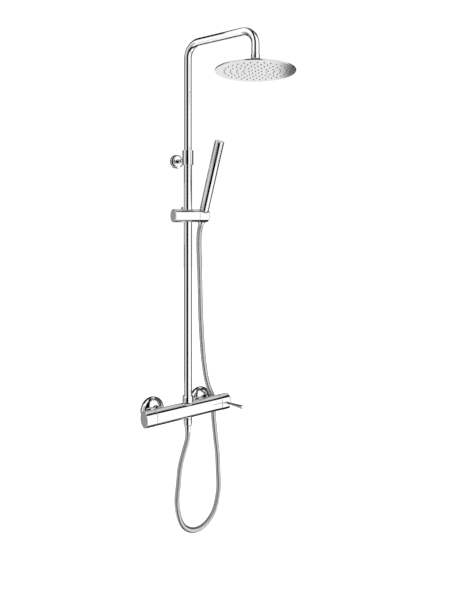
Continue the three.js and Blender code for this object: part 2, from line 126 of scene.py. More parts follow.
def half_width(node, axis="x"):
    """Half of a node's size along an axis, in millimetres."""
    start, end = ends_of(node, axis)
    return (end - start) / 2


# ---- materials ----
class Nodes:
    """A short way to write one procedural material."""

    def __init__(self, name):
        self.material = bpy.data.materials.new(name)
        self.material.use_nodes = True
        self.tree = self.material.node_tree
        self.shader = self.tree.nodes["Principled BSDF"]

    def add(self, kind, **values):
        """A new node, with values for its inputs or its settings."""
        node = self.tree.nodes.new(kind)
        for key, value in values.items():
            if key in node.inputs:
                node.inputs[key].default_value = value
            else:
                setattr(node, key, value)
        return node

    def link(self, source, target):
        self.tree.links.new(source, target)

    def set(self, **values):
        """Sets the shader's own inputs, with an underscore for each space in their names."""
        for key, value in values.items():
            self.shader.inputs[key.replace("_", " ")].default_value = value

    def noise(self, scale, detail=3.0, stretch=(1, 1, 1)):
        """Noise over the object's own coordinates, in the row frame's metres."""
        place = self.add("ShaderNodeTexCoord")
        size = self.add("ShaderNodeMapping", Scale=stretch)
        noise = self.add("ShaderNodeTexNoise", Scale=scale, Detail=detail)
        self.link(place.outputs["Object"], size.inputs["Vector"])
        self.link(size.outputs["Vector"], noise.inputs["Vector"])
        return noise.outputs["Fac"]

    def spread(self, factor, low, high):
        """Maps the range that noise mostly keeps to onto low..high."""
        ranged = self.add("ShaderNodeMapRange")
        ends = {"From Min": 0.3, "From Max": 0.7, "To Min": low, "To Max": high}
        for key, value in ends.items():
            ranged.inputs[key].default_value = value
        self.link(factor, ranged.inputs["Value"])
        return ranged.outputs["Result"]

    def tint(self, factor, dark, light):
        """Mixes the base colour from the first colour, at a factor of 0, to the second, at 1."""
        mix = self.add("ShaderNodeMix", data_type="RGBA")
        colours = {"A": dark, "B": light}
        for socket in mix.inputs:
            if socket.type == "RGBA":
                socket.default_value = (*colours[socket.name], 1)
        self.link(factor, mix.inputs["Factor"])
        result = next(socket for socket in mix.outputs if socket.type == "RGBA")
        self.link(result, self.shader.inputs["Base Color"])

    def bump(self, factor, height, strength):
        """Dents as deep as height, in metres."""
        bump = self.add("ShaderNodeBump", Distance=height, Strength=strength)
        self.link(factor, bump.inputs["Height"])
        self.link(bump.outputs["Normal"], self.shader.inputs["Normal"])


def chrome():
    """Bright plating with faint wiping marks."""
    made = Nodes("chrome")
    made.set(Metallic=1.0)
    made.tint(made.spread(made.noise(9), 0, 1), (0.93, 0.94, 0.945), (0.965, 0.968, 0.97))
    marks = made.noise(60, 5, (1, 1, 0.25))
    made.link(made.spread(marks, 0.0, 0.02), made.shader.inputs["Roughness"])
    return made.material


def satin():
    """Satin stainless steel with a fine grain."""
    made = Nodes("satin_steel")
    made.set(Metallic=1.0)
    grain = made.noise(900, 2, (1, 1, 0.1))
    made.tint(made.spread(made.noise(14), 0, 1), (0.92, 0.925, 0.925), (0.97, 0.975, 0.975))
    made.link(made.spread(grain, 0.13, 0.22), made.shader.inputs["Roughness"])
    made.bump(grain, 0.00005, 0.15)
    return made.material


def hose_steel_groove_shade():
    """The hose's wound strip: bright on the ribs, dull and dark down in the grooves, where the dark is painted
    shade in the base colour.
    """
    made = Nodes("hose_steel_groove_shade")
    made.set(Metallic=1.0)
    depth = made.add("ShaderNodeAttribute", attribute_name="groove")
    # painted shade: the groove depth darkens the base colour to near black at the bottom of each groove
    made.tint(depth.outputs["Fac"], (0.80, 0.81, 0.81), (0.04, 0.042, 0.044))
    made.link(made.spread(made.noise(120, 4), 0.06, 0.13), made.shader.inputs["Roughness"])
    made.bump(made.noise(600, 2), 0.00005, 0.2)
    return made.material


def brass():
    """Raw brass, a little uneven in colour."""
    made = Nodes("brass")
    made.set(Metallic=1.0)
    made.tint(made.spread(made.noise(40), 0, 1), (0.62, 0.44, 0.17), (0.78, 0.60, 0.27))
    made.link(made.spread(made.noise(300, 4), 0.25, 0.42), made.shader.inputs["Roughness"])
    made.bump(made.noise(700, 2), 0.00005, 0.3)
    return made.material


def steel():
    """Dull grey screws and spindles."""
    made = Nodes("screw_steel")
    made.set(Metallic=1.0)
    made.tint(made.spread(made.noise(50), 0, 1), (0.45, 0.46, 0.47), (0.62, 0.63, 0.64))
    made.link(made.spread(made.noise(350, 4), 0.22, 0.4), made.shader.inputs["Roughness"])
    made.bump(made.noise(800, 2), 0.00004, 0.3)
    return made.material


def rubber():
    """Dark silicone."""
    made = Nodes("silicone")
    made.tint(made.spread(made.noise(80), 0, 1), (0.10, 0.105, 0.105), (0.16, 0.165, 0.165))
    made.link(made.spread(made.noise(500, 3), 0.5, 0.7), made.shader.inputs["Roughness"])
    made.bump(made.noise(1500, 2), 0.00003, 0.4)
    return made.material


def plastic(name, dark, light):
    """Moulded plastic between two shades."""
    made = Nodes(name)
    made.tint(made.spread(made.noise(60), 0, 1), dark, light)
    made.link(made.spread(made.noise(400, 3), 0.38, 0.52), made.shader.inputs["Roughness"])
    made.bump(made.noise(1200, 2), 0.00003, 0.3)
    return made.material


LOOKS = {
    "chrome": chrome(),
    "satin": satin(),
    "brass": brass(),
    "steel": steel(),
    "rubber": rubber(),
    "plastic": plastic("white_plastic", (0.72, 0.72, 0.70), (0.80, 0.80, 0.78)),
    "dark_plastic": plastic("grey_plastic", (0.16, 0.165, 0.17), (0.21, 0.215, 0.22)),
}
HOSE_LOOK = hose_steel_groove_shade()


def dress_cad_nodes():
    """Gives each CAD node the look that its material slot names."""
    slots = {part["node"]: part["material_slot"] for part in frame["record"]["subparts"]}
    for name, node in frame["nodes"].items():
        node.data.materials.clear()
        node.data.materials.append(LOOKS[slots[name]])


dress_cad_nodes()


# ---- turned pieces ----
FILLET_STEPS = 5
SHARP = 32  # degrees: an edge that turns more than this is shaded as an edge


def filleted(outline, closed):
    """The outline with an arc at each point that names a fillet radius."""
    count = len(outline)
    points = []
    for i, point in enumerate(outline):
        here = Vector(point[:2])
        fillet = point[2] if len(point) > 2 else 0
        if not fillet or (not closed and i in (0, count - 1)):
            points.append(here)
            continue
        back = (Vector(outline[i - 1][:2]) - here).normalized()
        ahead = (Vector(outline[(i + 1) % count][:2]) - here).normalized()
        half = back.angle(ahead) / 2
        reach = fillet / math.tan(half)
        centre = here + (back + ahead).normalized() * fillet / math.sin(half)
        first = here + back * reach - centre
        last = here + ahead * reach - centre
        sweep = first.angle_signed(last)
        for step in range(FILLET_STEPS + 1):
            spoke = first.copy()
            spoke.rotate(Matrix.Rotation(-sweep * step / FILLET_STEPS, 2))
            points.append(centre + spoke)
    return points


def turned(bm, outline, place, sides=96):
    """Adds a body of revolution to bm. An outline that isn't on the axis at both ends closes on itself."""
    closed = not (outline[0][0] == 0 and outline[-1][0] == 0)
    points = filleted(outline, closed)
    rings = []
    angles = [2 * math.pi * i / sides for i in range(sides)]
    for r, z in points:
        if r < 1e-6:
            rings.append([bm.verts.new(place @ Vector((0, 0, z)))])
            continue
        rings.append([bm.verts.new(place @ Vector((r * math.cos(a), r * math.sin(a), z))) for a in angles])
    pairs = list(zip(rings, rings[1:]))
    if closed:
        pairs.append((rings[-1], rings[0]))
    for low, high in pairs:
        for i in range(sides):
            j = (i + 1) % sides
            corners = [low[i % len(low)], low[j % len(low)], high[j % len(high)], high[i % len(high)]]
            bm.faces.new(list(dict.fromkeys(corners)))


def finished(name, bm, body, look, sharp=SHARP):
    """Turns bm into a smooth-shaded object that rides on a body, if one is named."""
    bmesh.ops.recalc_face_normals(bm, faces=bm.faces)
    mesh = bpy.data.meshes.new(name)
    bm.to_mesh(mesh)
    bm.free()
    mesh.shade_smooth()
    mesh.set_sharp_from_angle(angle=math.radians(sharp))
    mesh.materials.append(look)
    piece = bpy.data.objects.new(name, mesh)
    bpy.context.scene.collection.objects.link(piece)
    if body:
        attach(piece, body)
    return piece


def weighted(piece):
    """Keeps flat and straight faces looking flat next to small fillets."""
    modifier = piece.modifiers.new("weighted", "WEIGHTED_NORMAL")
    modifier.keep_sharp = True
    return piece


def bevelled(piece, width, segments, angle=30):
    """Rounds the edges that turn more than an angle, in degrees."""
    modifier = piece.modifiers.new("edges", "BEVEL")
    modifier.width = width * MM
    modifier.segments = segments
    modifier.limit_method = "ANGLE"
    modifier.angle_limit = math.radians(angle)
    return piece


def lathe(name, body, look, outline, place, sides=96):
    """A turned piece that rides on a body."""
    bm = bmesh.new()
    turned(bm, outline, place, sides)
    return weighted(finished(name, bm, body, look))


def cut_with(piece, bm):
    """Subtracts the closed mesh in bm from the piece, for good."""
    bmesh.ops.recalc_face_normals(bm, faces=bm.faces)
    mesh = bpy.data.meshes.new("tool")
    bm.to_mesh(mesh)
    bm.free()
    tool = bpy.data.objects.new("tool", mesh)
    bpy.context.scene.collection.objects.link(tool)
    modifier = piece.modifiers.new("cut", "BOOLEAN")
    modifier.operation = "DIFFERENCE"
    modifier.solver = "EXACT"
    modifier.object = tool
    piece.modifiers.move(len(piece.modifiers) - 1, 0)
    with bpy.context.temp_override(object=piece, active_object=piece):
        bpy.ops.object.modifier_apply(modifier="cut")
    bpy.data.objects.remove(tool)
    piece.data.shade_smooth()
    piece.data.set_sharp_from_angle(angle=math.radians(SHARP))


def drill(piece, radius, low, high, place, sides=96):
    """Cuts a round hole along the place's Z axis."""
    bm = bmesh.new()
    turned(bm, [(0, low), (radius, low), (radius, high), (0, high)], place, sides)
    cut_with(piece, bm)


def stands_for(piece, slot, *nodes):
    """Shows the piece in place of CAD nodes."""
    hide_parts(*nodes)


# ---- hose ----
# The hose's middle line, from the hand shower down to the outlet. Its points are chosen.
HOSE_ROUTE = [
    (0.0457, -0.0579, 0.49675), (0.0463, -0.051, 0.4826), (0.0474, -0.045, 0.466),
    (0.0503, -0.0392, 0.435), (0.0535, -0.0362, 0.395), (0.0556, -0.0355, 0.34),
    (0.0572, -0.035, 0.284), (0.0598, -0.0346, 0.225), (0.064, -0.0342, 0.165),
    (0.0695, -0.034, 0.112), (0.0775, -0.034, 0.065), (0.0845, -0.034, 0.041),
    (0.092, -0.034, 0.023), (0.098, -0.034, 0.01), (0.1006, -0.034, -0.004),
    (0.101, -0.034, -0.022), (0.1018, -0.034, -0.045), (0.1065, -0.0355, -0.1),
    (0.112, -0.038, -0.153), (0.1114, -0.043, -0.2028), (0.1085, -0.049, -0.2526),
    (0.0881, -0.0545, -0.3065), (0.0538, -0.0595, -0.3295), (0.0167, -0.063, -0.3284),
    (-0.0161, -0.065, -0.3035), (-0.0334, -0.066, -0.2452), (-0.0295, -0.0665, -0.19),
    (-0.0235, -0.066, -0.145), (-0.0115, -0.0653, -0.108), (-0.0024, -0.065, -0.083),
    (0, -0.065, -0.07), (0, -0.065, -0.0583),
]
HOSE_D = 0.014
HOSE_PITCH = 0.0052  # between grooves, along the hose
GROOVE = 0.0010  # how deep each groove is
WINDINGS = 3  # strips wound side by side
STEPS_PER_PITCH = 8
SPACING = HOSE_PITCH / STEPS_PER_PITCH
HOSE_SIDES = 36
LINK = 0.0875  # length of each of the three stretches nearest the hand shower


def catmull_rom(points, per_span=40):
    """Centripetal Catmull-Rom curve through the points, sampled densely."""
    points = [Vector(p) for p in points]
    ends = [2 * points[0] - points[1], *points, 2 * points[-1] - points[-2]]
    made = []
    for p0, p1, p2, p3 in zip(ends, ends[1:], ends[2:], ends[3:]):
        d0, d1, d2 = ((b - a).length ** 0.5 for a, b in ((p0, p1), (p1, p2), (p2, p3)))
        leave = ((p1 - p0) / d0 - (p2 - p0) / (d0 + d1) + (p2 - p1) / d1) * d1
        arrive = ((p2 - p1) / d1 - (p3 - p1) / (d1 + d2) + (p3 - p2) / d2) * d1
        for i in range(per_span):
            t = i / per_span
            made.append(
                p1 * (2 * t**3 - 3 * t**2 + 1) + leave * (t**3 - 2 * t**2 + t)
                + p2 * (3 * t**2 - 2 * t**3) + arrive * (t**3 - t**2)
            )
    return [*made, points[-1]]


def evenly(points, spacing):
    """The same line with points a set distance apart."""
    made = [points[0]]
    left = spacing
    for a, b in zip(points, points[1:]):
        span = (b - a).length
        gone = 0.0
        while span - gone >= left:
            gone += left
            made.append(a.lerp(b, gone / span))
            left = spacing
        left -= span - gone
    return made


def frames_along(points):
    """(point, side, other side) at each point, carried along with no twist."""
    made = []
    side = Vector((1, 0, 0))
    for i, point in enumerate(points):
        along = (points[min(i + 1, len(points) - 1)] - points[max(i - 1, 0)]).normalized()
        side = (side - along * side.dot(along)).normalized()
        made.append((point, side, along.cross(side)))
    return made


def skin(bm, loops):
    """Faces between each loop of points and the next."""
    for low, high in zip(loops, loops[1:]):
        for k in range(len(low)):
            after = (k + 1) % len(low)
            bm.faces.new((low[k], low[after], high[after], high[k]))


def groove_at(pitches):
    """How deep the winding is a number of pitches along: 0 on a rib, 1 at the bottom of a groove."""
    return (0.5 + 0.5 * math.cos(2 * math.pi * pitches)) ** 6


def hose_stretch(name, stations, first):
    """A closed tube round some of the hose's stations, wound like the whole hose."""
    bm = bmesh.new()
    depth = bm.verts.layers.float.new("groove")
    rings = []
    for index, (point, side, other) in enumerate(stations, first):
        ring = []
        for k in range(HOSE_SIDES):
            share = k / HOSE_SIDES
            down = groove_at(index / STEPS_PER_PITCH + WINDINGS * share)
            radius = HOSE_D / 2 - GROOVE * down
            angle = 2 * math.pi * share
            vert = bm.verts.new(point + (side * math.cos(angle) + other * math.sin(angle)) * radius)
            # the groove depth also drives the painted shade in the hose's base colour
            vert[depth] = down
            ring.append(vert)
        rings.append(ring)
    skin(bm, rings)
    bm.faces.new(rings[0][::-1])
    bm.faces.new(rings[-1])
    return finished(name, bm, None, HOSE_LOOK, sharp=80)


def make_hose():
    """The hose in five stretches: fixed, then one for each joint between the bar and the hand shower."""
    line = evenly(catmull_rom(HOSE_ROUTE[::-1]), SPACING)
    stations = frames_along(line)
    last = len(line) - 1
    lowest = min(range(len(line)), key=lambda i: line[i].z)
    link = round(LINK / SPACING)
    stops = [0, lowest, last - 3 * link, last - 2 * link, last - link, last]
    pairs = [
        None,
        ("fixed_column", "slider_carriage"),
        ("slider_carriage", "slider"),
        ("slider", "handset_bracket"),
        ("handset_bracket", "hose_end"),
    ]
    names = ["hose_loop", "hose_rise", "hose_swivel", "hose_tilt", "hose_lift"]
    for name, pair, start, stop in zip(names, pairs, stops, stops[1:]):
        piece = hose_stretch(name, stations[start:stop + 1], start)
        if pair is None:
            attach(piece, "fixed_column")
        else:
            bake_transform(piece)
        stands_for(piece, "steel", "shower_hose")


make_hose()

# ---- bar mixer ----
LEFT_SEAM = -99.7  # where the bar meets the diverter knob
RIGHT_SEAM = 97.7  # where the bar meets the control handle
BAR_R = 21
HANDLE_R = 21.6
LEVER_X = JOINTS["lever_turn"]["pos_m"][0] / MM
SEAM = 0.35  # fillet along both sides of a seam between two barrels
SCREW_HOLE = 2.2  # radius


def under_bar(x):
    """A frame on the bar's axis at x, with Z up."""
    return local_frame(BAR_CENTRE + Vector((x * MM, 0, 0)), (1, 0, 0), UP)


def make_bar():
    """The mixer's body, and the necks behind it that the union nuts hold."""
    outline = [(0, LEFT_SEAM), (BAR_R, LEFT_SEAM, SEAM), (BAR_R, RIGHT_SEAM, SEAM), (0, RIGHT_SEAM)]
    body = lathe("bar_body", "fixed_column", LOOKS["chrome"], outline, BAR, sides=128)
    stands_for(body, "chrome", "mixer_body", "diverter_cartridge_nut", "mixing_cartridge_nut")
    for side in ("left", "right"):
        outline = [(0, 25), (11.5, 25), (11.5, 44, 0.5), (14.5, 44, 0.4), (14.5, 50), (0, 50)]
        place = out_of_wall(f"union_nut_{side}")
        neck = lathe(f"inlet_neck_{side}", "fixed_column", LOOKS["chrome"], outline, place, sides=64)


def make_diverter_knob():
    """The knob on the bar's left end, with its screw's hole below."""
    left, right = ends_of("diverter_knob")
    outline = [(0, left), (BAR_R, left, 0.7), (BAR_R, right, SEAM), (0, right)]
    knob = lathe("diverter_knob_cap", "diverter", LOOKS["chrome"], outline, BAR, sides=128)
    drill(knob, SCREW_HOLE, -30, -16, under_bar((left + right) / 2), 24)
    stands_for(knob, "chrome", "diverter_knob")


def make_handle():
    """The control handle on the bar's right end, round at its rim, with its screw's hole below."""
    left, right = ends_of("mixer_handle")
    outline = [(0, left), (HANDLE_R, left, SEAM), (HANDLE_R, right, 5), (0, right)]
    handle = lathe("control_handle", "mixer_control", LOOKS["chrome"], outline, BAR, sides=128)
    drill(handle, SCREW_HOLE, -30, -17, under_bar(LEVER_X), 24)
    stands_for(handle, "chrome", "mixer_handle")


def make_lever():
    """A round lever, thicker towards its tip, screwed into the handle."""
    low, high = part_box("mixer_lever")
    rise = math.atan2((low.z + high.z) / 2 - BAR_CENTRE.z, -((low.y + high.y) / 2 - BAR_CENTRE.y))
    reach = (BAR_CENTRE.y - low.y) / math.cos(rise) / MM
    out = Vector((0, -math.cos(rise), math.sin(rise)))
    place = local_frame(under_bar(LEVER_X).translation, (1, 0, 0), out)
    root = [(0, 12), (2.9, 12), (2.9, HANDLE_R + 1.2, 0.3)]
    collar = [(3.6, HANDLE_R + 1.6, 0.3), (3.6, HANDLE_R + 3, 0.5), (3.0, HANDLE_R + 4.5, 0.8)]
    grip = [(4.6, reach - 11, 0.5), (5.2, reach - 9.5, 0.5), (5.2, reach, 2.4), (0, reach)]
    outline = root + collar + grip
    lever = lathe("control_lever", "mixer_control", LOOKS["chrome"], outline, place, sides=64)
    stands_for(lever, "chrome", "mixer_lever")


def make_outlet():
    """The outlet under the bar, and the nut that holds the hose on it."""
    boss = [(0, -18), (10.6, -18), (10.6, -23.2, 0.5), (9.6, -23.8), (9.6, -30), (0, -30)]
    outlet = lathe("hose_outlet_boss", "fixed_column", LOOKS["chrome"], boss, RISER, sides=64)
    stands_for(outlet, "brass", "hose_outlet")
    end, _ = ends_of("hose_nut_lower", "z")
    outside = [(7.2, end), (8.1, end, 0.3), (9.4, -41, 0.6), (11.6, -38.6, 0.8), (11.6, -24.1, 0.6)]
    inside = [(10.9, -24.1), (10.9, -36), (7.2, -36)]
    nut = lathe("lower_hose_nut", "fixed_column", LOOKS["chrome"], outside + inside, RISER)
    stands_for(nut, "chrome", "hose_nut_lower")


make_bar()
make_diverter_knob()
make_handle()
make_lever()
make_outlet()


# ---- wall unions ----
def make_union_nut(side):
    """A hexagon nut with its corners turned off at both faces."""
    node = f"union_nut_{side}"
    place = out_of_wall(node)
    far, near = (-y for y in ends_of(node, "y"))
    flat = half_width(node)
    corner = flat / math.cos(math.radians(30))
    bm = bmesh.new()
    flats_sideways = place @ Matrix.Rotation(math.radians(30), 4, "Z")
    turned(bm, [(0, near), (corner, near), (corner, far), (0, far)], flats_sideways, 6)
    nut = weighted(finished(f"hexagon_nut_{side}", bm, "fixed_column", LOOKS["chrome"]))
    for end, beyond in ((near, -1), (far, 1)):
        clear_r, clear_z = corner + 2, end + beyond * 2
        cone = [(flat + 0.4, end), (clear_r, end - beyond * 2.25), (clear_r, clear_z), (flat - 1.2, clear_z)]
        bm = bmesh.new()
        turned(bm, cone, place)
        cut_with(nut, bm)
    bevelled(nut, 0.25, 2)
    stands_for(nut, "chrome", node)


def make_rosette(side):
    """A domed wall plate: a straight rim, then a crown that is part of an ellipse."""
    node = f"rosette_{side}"
    radius = half_width(node)
    depth = -ends_of(node, "y")[0]
    rim, bore, wall = 4, 13.7, 1.8
    angles = [math.radians(d) for d in range(0, 66, 5)]
    crown = [(radius * math.cos(a), rim + (depth - rim) * math.sin(a)) for a in angles]
    inner = [(r - wall, z - wall) for r, z in crown[:0:-1]]
    outline = [(radius, 0), *crown, (bore, depth), (bore, depth - wall), *inner, (radius - wall, 0)]
    place = out_of_wall(node)
    shell = lathe(f"wall_plate_{side}", "fixed_column", LOOKS["chrome"], outline, place, sides=128)
    stands_for(shell, "chrome", node)


for union_side in ("left", "right"):
    make_union_nut(union_side)
    make_rosette(union_side)


# ---- riser ----
def make_riser():
    """The nut on the bar, and the riser's outer tube."""
    base, top = ends_of("riser_base_nut", "z")
    outline = [(11.4, base), (14.5, base, 0.4), (14.5, top - 5, 3.0), (12.2, top, 0.5), (11.4, top)]
    nut = lathe("riser_foot_nut", "fixed_column", LOOKS["chrome"], outline, RISER)
    stands_for(nut, "chrome", "riser_base_nut")
    bottom, top = ends_of("riser_lower_tube", "z")
    outer = half_width("riser_lower_tube")
    inner = outer - 0.65
    outline = [(inner, bottom), (outer, bottom), (outer, top), (inner, top)]
    tube = lathe("lower_riser_tube", "fixed_column", LOOKS["chrome"], outline, RISER)
    stands_for(tube, "chrome", "riser_lower_tube")


def make_bracket():
    """The collar on the riser with its stem to the wall, and the domed cover plate."""
    bottom, top = ends_of("riser_bracket", "z")
    radius = half_width("riser_bracket")
    outside = [(11.3, bottom), (radius, bottom, 0.6), (radius, top, 0.6)]
    inside = [(10.4, top), (10.4, top - 3), (11.3, top - 3)]
    collar = lathe("riser_collar", "fixed_column", LOOKS["chrome"], outside + inside, RISER)

    cover = out_of_wall("bracket_cover")
    near_wall = -ends_of("riser_bracket", "y")[1]
    axis_out = -RISER_FOOT.y / MM
    thin = [(0, near_wall), (5.5, near_wall), (5.5, axis_out - 27, 6)]
    thick = [(10, axis_out - 15, 6), (10, axis_out - 12.5), (0, axis_out - 12.5)]
    stem = lathe("collar_stem", "fixed_column", LOOKS["chrome"], thin + thick, cover, sides=64)
    stands_for(collar, "chrome", "riser_bracket")

    rim, depth = half_width("bracket_cover"), -ends_of("bracket_cover", "y")[0]
    outside = [(rim, 0), (rim, depth - 4, 3.2), (14.5, depth - 0.3, 4), (6.2, depth, 0.4)]
    inside = [(6.2, depth - 1.4), (14, depth - 1.7), (rim - 1.5, depth - 5.2), (rim - 1.5, 0)]
    plate = lathe("bracket_wall_plate", "fixed_column", LOOKS["chrome"], outside + inside, cover)
    stands_for(plate, "chrome", "bracket_cover")


make_riser()
make_bracket()


# ---- arm and overhead shower ----
def tube_along(name, body, look, line, radius, wall, sides=96):
    """An open-ended tube with a wall along a line, square to it at both ends."""
    bm = bmesh.new()
    frames = frames_along(line)
    angles = [2 * math.pi * k / sides for k in range(sides)]

    def rings(r):
        return [
            [bm.verts.new(point + (side * math.cos(a) + other * math.sin(a)) * r) for a in angles]
            for point, side, other in frames
        ]

    outer, inner = rings(radius), rings(radius - wall)
    skin(bm, outer + inner[::-1] + [outer[0]])
    return finished(name, bm, body, look, sharp=60)


def make_arm():
    """Upper riser tube: up, round a bend, out along the arm, round a second bend and down to the head."""
    low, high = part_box("shower_arm_tube")
    radius, wall = 9.95 * MM, 0.75 * MM
    bend = 38 * MM
    top = high.z - radius
    foot = Vector((RISER_FOOT.x, RISER_FOOT.y, low.z))
    tube_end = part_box("arm_swivel_nipple")[1].z - 9.7 * MM  # just above the nipple's collar
    drop = Vector((BALL_CENTRE.x, BALL_CENTRE.y, tube_end))
    out = drop - foot
    out.z = 0
    reach = out.length
    out.normalize()
    steps = 24

    def at(along, height):
        return Vector((foot.x, foot.y, 0)) + out * along + UP * height

    def quarter(along, first):
        for step in range(steps + 1):
            angle = math.radians(first - 90 * step / steps)
            yield at(along + bend * math.cos(angle), top - bend + bend * math.sin(angle))

    straight = [at(0, foot.z + (top - bend - foot.z) * k / 6) for k in range(6)]
    line = [*straight, *quarter(bend, 180), *quarter(reach - bend, 90), drop]
    arm = tube_along("shower_arm", "shower_arm", LOOKS["chrome"], line, radius, wall)
    stands_for(arm, "chrome", "shower_arm_tube")


def make_nipple():
    """The nipple in the arm's end: a collar that the tube stands on, and the ball below it."""
    top = (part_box("arm_swivel_nipple")[1].z - BALL_CENTRE.z) / MM - 10
    ball_r = 9
    angles = [math.radians(a) for a in range(156, 33, -6)]
    ball = [(ball_r * math.sin(a), ball_r * math.cos(a)) for a in angles]
    collar = [(5, 11, 0.5), (11, 11, 0.8), (11, top, 0.8)]
    spigot = [(8.8, top), (8.8, top + 8), (0, top + 8)]
    outline = [(0, ball[0][1])] + ball + collar + spigot
    nipple = lathe("swivel_nipple", "shower_arm", LOOKS["chrome"], outline, HEAD)
    stands_for(nipple, "chrome", "arm_swivel_nipple")


HEAD_R = half_width("head_back_shell")
FACE = (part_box("head_spray_plate")[0].z - BALL_CENTRE.z) / MM


def make_head():
    """The nut on the ball, the flat round shell and the spray plate under it."""
    outline = [(14.5, -9.2, 0.4), (14.5, 4, 2.5), (12.4, 6, 0.6), (9.3, 6, 0.3), (11.2, 0), (12.5, -9.2)]
    nut = lathe("head_nut", "overhead_shower", LOOKS["chrome"], outline, HEAD)
    stands_for(nut, "chrome", "head_swivel_nut")
    rim = FACE + 1.3
    edge = [(0, rim), (HEAD_R, rim, 0.4), (HEAD_R, rim + 1.5, 1.2), (HEAD_R - 6, rim + 3, 3)]
    back = [(60, -13.8, 8), (30, -12, 6), (15.5, -11.3, 2)]
    seat = [(12.3, -9.4, 0.5), (12.3, -8, 0.5), (0, -8)]
    outline = edge + back + seat
    shell = lathe("head_shell", "overhead_shower", LOOKS["chrome"], outline, HEAD, sides=160)
    stands_for(shell, "chrome", "head_back_shell")
    plate_r, plate_top = HEAD_R - 0.6, FACE + 1.2
    outline = [(0, FACE), (plate_r, FACE, 0.6), (plate_r, plate_top), (0, plate_top)]
    plate = lathe("head_face", "overhead_shower", LOOKS["satin"], outline, HEAD, sides=160)
    stands_for(plate, "satin", "head_spray_plate")


def nozzle(bm, place, radius, height, sides=14):
    """One soft nozzle: a low cone with a round tip and a sunken hole."""
    hole = [(0, height * 0.5), (radius * 0.32, height * 0.5)]
    tip = [(radius * 0.4, height, 0.1), (radius * 0.7, height * 0.95, 0.15)]
    root = [(radius, 0), (radius, -0.4), (0, -0.4)]
    turned(bm, hole + tip + root, place, sides)


def make_head_nozzles():
    """One nozzle in the middle, and rings of 6, 12, 18 and so on round it."""
    rings = 5
    spacing = 15.4
    radius, height = 1.7, 1.3
    bm = bmesh.new()
    down = HEAD @ Matrix.Translation((0, 0, FACE)) @ Matrix.Rotation(math.pi, 4, "X")
    nozzle(bm, down, radius, height)
    for ring in range(1, rings + 1):
        reach = ring * spacing
        for k in range(6 * ring):
            angle = 2 * math.pi * k / (6 * ring)
            spot = Matrix.Translation((reach * math.cos(angle), reach * math.sin(angle), 0))
            nozzle(bm, down @ spot, radius, height)
    nozzles = finished("head_nozzles", bm, "overhead_shower", LOOKS["rubber"])
    stands_for(nozzles, "rubber", "head_nozzle_mat")


make_arm()
make_nipple()
make_head()
make_head_nozzles()


# ---- slider ----
SLIDER_R = half_width("slider_body", "z")
SLIDER_LEFT = -40.9
SLIDER_SEAM = 28
HOLDER_END = 14.5  # from the hand shower's axis


def make_slider():
    """The barrel that the riser goes through, and the cap on its left end."""
    left, right = SLIDER_LEFT, SLIDER_SEAM
    outline = [(0, left), (SLIDER_R, left, SEAM), (SLIDER_R, right, SEAM), (0, right)]
    body = lathe("slider_barrel", "slider", LOOKS["chrome"], outline, SLIDER, sides=128)
    riser_hole = 13.6
    drill(body, riser_hole, -30, 30, local_frame(SLIDER_CENTRE, SLIDER_AXIS, UP))
    stands_for(body, "chrome", "slider_body")
    left, right = SLIDER_LEFT - 2.5, SLIDER_LEFT - 0.25
    outline = [(0, left), (SLIDER_R, left, 0.8), (SLIDER_R, right), (0, right)]
    cap = lathe("slider_cap", "slider", LOOKS["chrome"], outline, SLIDER, sides=128)
    stands_for(cap, "chrome", "slider_end_cap")


def make_clamp():
    """A small lever behind the slider that tightens it on the riser."""
    inner, outer = 27.4, 33
    outline = [(0, 18.6), (6.4, 18.6, 0.4), (6.4, outer, 0.8), (0, outer)]
    hub = lathe("clamp_hub", "slider_clamp", LOOKS["chrome"], outline, CLAMP, sides=48)
    stands_for(hub, "chrome", "slider_clamp_lever")

    tip_height, tip_r, steps = 19.3, 5.4, 16
    angles = [math.pi * k / steps for k in range(steps + 1)]
    tip = [(tip_r * math.cos(a), tip_height + tip_r * math.sin(a)) for a in angles]
    root = [(-5.0, 3), (5.0, 3)]
    bm = bmesh.new()
    face = bm.faces.new([bm.verts.new(CLAMP @ Vector((x, y, inner))) for x, y in tip + root])
    grown = bmesh.ops.extrude_face_region(bm, geom=[face])["geom"]
    shift = CLAMP.to_3x3() @ Vector((0, 0, outer - inner))
    bmesh.ops.translate(bm, vec=shift, verts=[v for v in grown if isinstance(v, bmesh.types.BMVert)])
    arm = finished("clamp_arm", bm, "slider_clamp", LOOKS["chrome"])
    weighted(bevelled(arm, 0.9, 4, 50))


make_slider()
make_clamp()


# ---- holder and hand shower ----
def make_holder():
    """The holder beyond the slider's seam, drilled for the hand shower, with a liner in the hole."""
    start = SLIDER_SEAM + 0.6 - (HOLDER_CENTRE - SLIDER_CENTRE).length / MM
    outline = [(0, start), (SLIDER_R, start, SEAM), (SLIDER_R, HOLDER_END, 4.2), (0, HOLDER_END)]
    holder = lathe("holder_barrel", "handset_bracket", LOOKS["chrome"], outline, HOLDER, sides=128)
    liner_hole = 12.3
    drill(holder, liner_hole, -30, 30, HANDSET)
    stands_for(holder, "chrome", "handset_holder")
    outline = [(9.7, -15.5, 0.3), (12.2, -15.5), (12.2, 15.6), (11.3, 15.6, 0.3)]
    liner = lathe("holder_liner", "handset_bracket", LOOKS["dark_plastic"], outline, HANDSET, sides=64)
    stands_for(liner, "plastic", "holder_insert")


def make_upper_nut():
    """The long conical nut between the hose and the hand shower."""
    outside = [(7.2, -24), (8.6, -24, 0.4), (11, 14.5, 1), (11, 18.8, 0.6)]
    inside = [(9.9, 18.8), (9.9, 8), (7.2, 8)]
    nut = lathe("upper_hose_nut", "hose_end", LOOKS["chrome"], outside + inside, HANDSET)
    stands_for(nut, "chrome", "hose_nut_upper")


